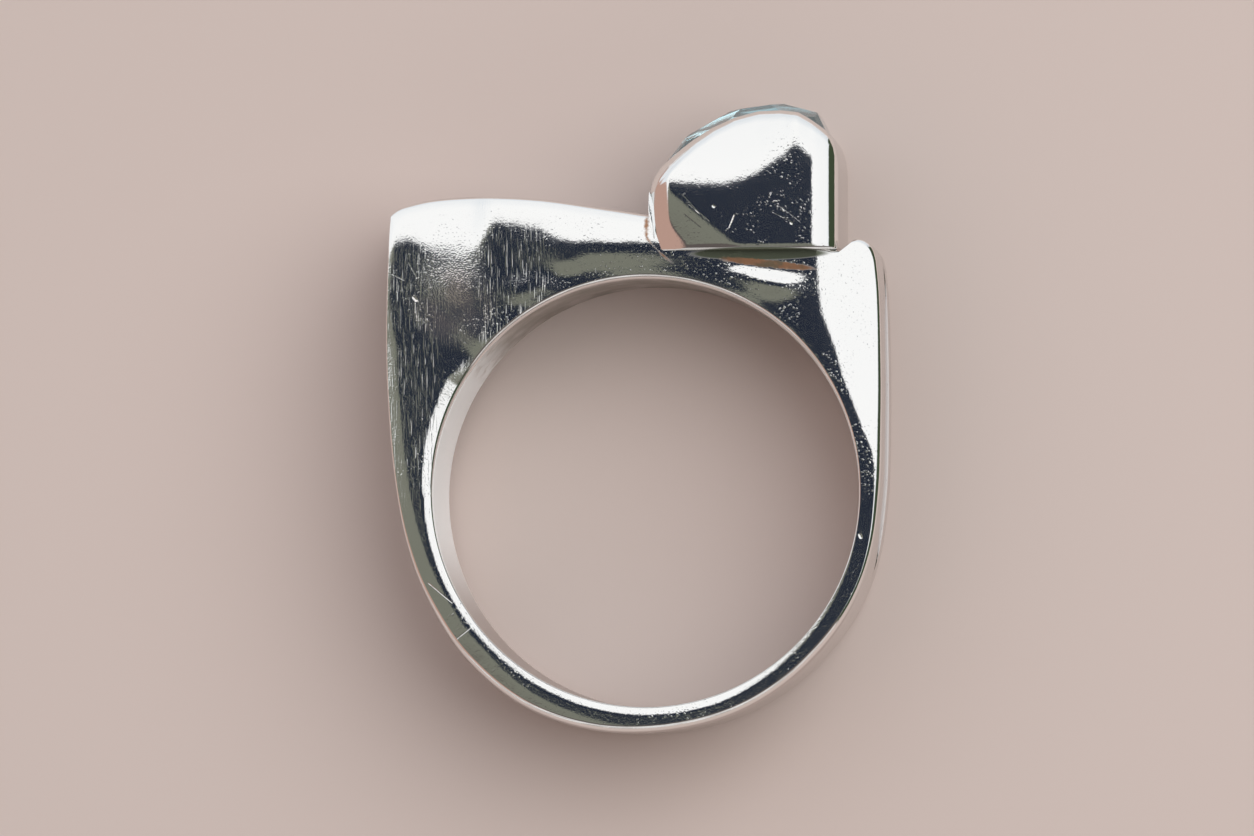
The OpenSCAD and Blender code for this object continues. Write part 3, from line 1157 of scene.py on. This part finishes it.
def sky_map(g):
    """A direction, and its place on the flat map: right, up, and distance from the middle."""
    way = g.node("ShaderNodeTexCoord", out="Generated")
    x, y, z = way.parts()
    lift = (1 + z).max(LEAST_LIFT)
    u = x / lift + MAP_SHIFT[0]
    v = y / lift + MAP_SHIFT[1]
    return way, u, v, (u * u + v * v) ** 0.5


lean_of_crest = math.atan(CREST_SLOPE[0])
print("the rolled crest mirrors the map", round(math.tan(lean_of_crest), 3), "from its middle")

# %% Dark room above and soft clouds round it
NAVY = (0.012, 0.017, 0.031)
OLIVE = (0.172, 0.177, 0.145)
BROWN = (0.10, 0.085, 0.08)
ROSE = (0.45, 0.29, 0.24)
CLOUDS = (8.0, 0.42, 0.58)  # waves in the sky, then the noise from which they show
LOW_CLOUDS = ((0.40, 0.37, 0.355), (0.80, 0.79, 0.785))
HIGH_CLOUDS = ((0.52, 0.50, 0.49), (0.80, 0.78, 0.78))
OLIVE_LEFT = (0.014, 0.034)
OLIVE_SLANT = 0.4
OLIVE_LOW = (-0.018, -0.034)
BROWN_LOW = (-0.062, -0.085)
ROSE_FAR = (0.40, 0.80)
ROSE_LEFT = (0.12, 0.20)
LOW_CLOUDS_FROM = (0.32, 0.50)
HIGH_CLOUDS_FROM = (0.50, 0.70)


def dark_room(g, way, u, v, far):
    """Colour of the sky where no bright panel hangs."""
    to_olive = (0 - u - v * OLIVE_SLANT).step(*OLIVE_LEFT).max(v.step(*OLIVE_LOW))
    room = v.step(*BROWN_LOW).blend(to_olive.blend(NAVY, OLIVE), BROWN)
    room = far.step(*ROSE_FAR).max((0 - u).step(*ROSE_LEFT)).blend(room, ROSE)
    clouds = noise(g, way, CLOUDS[0], 1.0).step(*CLOUDS[1:])
    room = (0 - v).step(*LOW_CLOUDS_FROM).blend(room, clouds.blend(*LOW_CLOUDS))
    return v.step(*HIGH_CLOUDS_FROM).blend(room, clouds.blend(*HIGH_CLOUDS))


print("the room overhead is", NAVY, "with", OLIVE, "beside it")

# %% Bright panels
RIGHT_FROM = (0.040, 0.046)
RIGHT_SLANT = 0.6
RIGHT_ABOVE = (-0.02, 0.01)
TOP_FROM = (0.040, 0.046)
LEFT_FROM = (0.062, 0.072)
LEFT_SLANT = 0.6
LEFT_NOT_PAST = (0.24, 0.15)
NEAR_MIDDLE = (0.62, 0.42)
TALL_FROM = (0.25, 0.45)
NEAR_RIM = (0.86, 0.76)
SIDE_FROM = (0.30, 0.36)
SIDE_ABOVE = (0.14, 0.30)


def bright_panels(u, v, far):
    """Mask of the bright panels right of, above and left of the map's middle."""
    right = u.step(*RIGHT_FROM) * (v + u * RIGHT_SLANT).step(*RIGHT_ABOVE)
    left = (v - u * LEFT_SLANT).step(*LEFT_FROM) * (0 - u).step(*LEFT_NOT_PAST)
    bright = right.max(v.step(*TOP_FROM)).max(left)
    reach = far.step(*NEAR_MIDDLE).max(v.step(*TALL_FROM) * far.step(*NEAR_RIM))
    side = (0 - u).step(*SIDE_FROM) * v.step(*SIDE_ABOVE) * far.step(*NEAR_RIM)
    return (bright * reach).max(side)


print("a lean of", round(math.degrees(math.atan(RIGHT_FROM[0])), 1), "degrees to the right mirrors white")

# %% Sky
BLUE_WHITE = (0.74, 0.775, 0.815)
WHITE = (0.93, 0.935, 0.94)
WHITE_FROM = (0.06, 0.30)
DARK_GREEN = (0.045, 0.062, 0.036)
GREEN_FROM = (0.20, 0.26)
GREEN_FLARE = 1.3
GREEN_SIDE = (0.0, 0.06)
BACKDROP = (0.80, 0.76, 0.74)  # what the camera itself sees past the floor
SKY_STRENGTH = 1.08


def sky():
    """Paints the world: the dark room, the white panels, a green one, and the plain backdrop."""
    world = bpy.data.worlds.new("studio")
    bpy.context.scene.world = world
    world.use_nodes = True
    g = Graph(world.node_tree)
    way, u, v, far = sky_map(g)
    white = far.step(*WHITE_FROM).blend(WHITE, BLUE_WHITE)
    colour = bright_panels(u, v, far).blend(dark_room(g, way, u, v, far), white)
    green = u.step(*GREEN_FROM) * (u - abs(v) * GREEN_FLARE).step(*GREEN_SIDE)
    colour = green.blend(colour, DARK_GREEN)
    colour = g.node("ShaderNodeLightPath", out="Is Camera Ray").blend(colour, BACKDROP)
    background = g.node("ShaderNodeBackground", None, {"Color": colour, "Strength": SKY_STRENGTH})
    g.node("ShaderNodeOutputWorld", None, {"Surface": background})
    return world


print("sky of", len(sky().node_tree.nodes), "nodes")

# %% [markdown]
# One large soft lamp from the upper right gives the ring its gentle shadow on the floor. It
# is hidden from the silver's reflections, because a lamp's disk would show there as a hard
# white spot. The plain view transform keeps the silver's whites white, as in the photo.

# %% Lamp
LAMP_AT = Vector((0.38, 0.20, 0.52))
LAMP_SIZE = 0.75
LAMP_POWER = 3.9

lamp_data = bpy.data.lights.new("soft_lamp", "AREA")
lamp_data.shape = "DISK"
lamp_data.size = LAMP_SIZE
lamp_data.energy = LAMP_POWER
lamp = bpy.data.objects.new("soft_lamp", lamp_data)
lamp.matrix_world = look(LAMP_AT, Vector((0, 0, 0)), UP)
lamp.visible_glossy = False
bpy.context.scene.collection.objects.link(lamp)
bpy.context.scene.view_settings.view_transform = "Standard"
print("lamp", round(LAMP_AT.length, 2), "m away")
